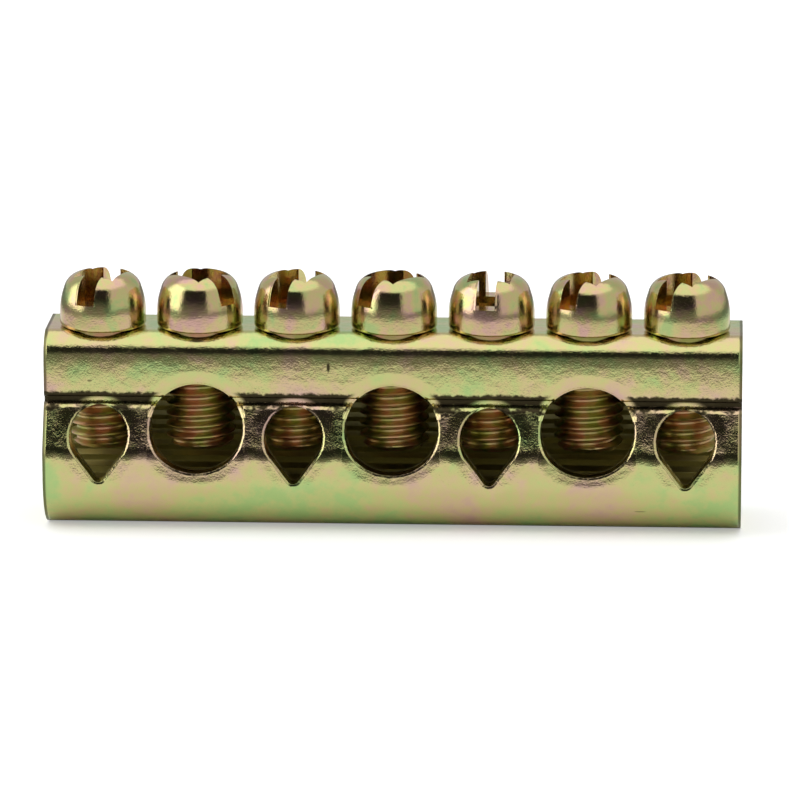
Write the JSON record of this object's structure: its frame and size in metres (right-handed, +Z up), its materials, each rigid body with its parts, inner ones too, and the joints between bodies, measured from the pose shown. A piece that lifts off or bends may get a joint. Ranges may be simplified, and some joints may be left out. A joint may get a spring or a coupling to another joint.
{
  "type": "earth terminal bar",
  "caption": "Folded steel earth terminal bar: hollow bulb below a narrow neck, wire holes along the front and a row of clamping screws along the top.",
  "frame": {"origin": "under the middle of the bar, on the flat that it stands on", "axes": "+X along the bar, -Y out of the wire holes, +Z up along the screws, towards their heads"},
  "size_m": [0.05, 0.0102, 0.0181],
  "materials": {
    "bar_plating": "satin",
    "screw_plating": "satin"
  },
  "bodies": {
    "bar": {"bar_body": "bar_plating"},
    "screw_1": {"terminal_screw_1": "screw_plating"},
    "screw_2": {"terminal_screw_2": "screw_plating"},
    "screw_3": {"terminal_screw_3": "screw_plating"},
    "screw_4": {"terminal_screw_4": "screw_plating"},
    "screw_5": {"terminal_screw_5": "screw_plating"},
    "screw_6": {"terminal_screw_6": "screw_plating"},
    "screw_7": {"terminal_screw_7": "screw_plating"}
  },
  "joints": [
    {"name": "screw_1_travel", "type": "slide", "parent": "bar", "child": "screw_1", "axis": [0, 0, 1], "range_m": [0, 0.0052]},
    {"name": "screw_2_travel", "type": "slide", "parent": "bar", "child": "screw_2", "axis": [0, 0, 1], "range_m": [0, 0.0052]},
    {"name": "screw_3_travel", "type": "slide", "parent": "bar", "child": "screw_3", "axis": [0, 0, 1], "range_m": [0, 0.0052]},
    {"name": "screw_4_travel", "type": "slide", "parent": "bar", "child": "screw_4", "axis": [0, 0, 1], "range_m": [0, 0.0052]},
    {"name": "screw_5_travel", "type": "slide", "parent": "bar", "child": "screw_5", "axis": [0, 0, 1], "range_m": [0, 0.0052]},
    {"name": "screw_6_travel", "type": "slide", "parent": "bar", "child": "screw_6", "axis": [0, 0, 1], "range_m": [0, 0.0052]},
    {"name": "screw_7_travel", "type": "slide", "parent": "bar", "child": "screw_7", "axis": [0, 0, 1], "range_m": [0, 0.0052]}
  ]
}
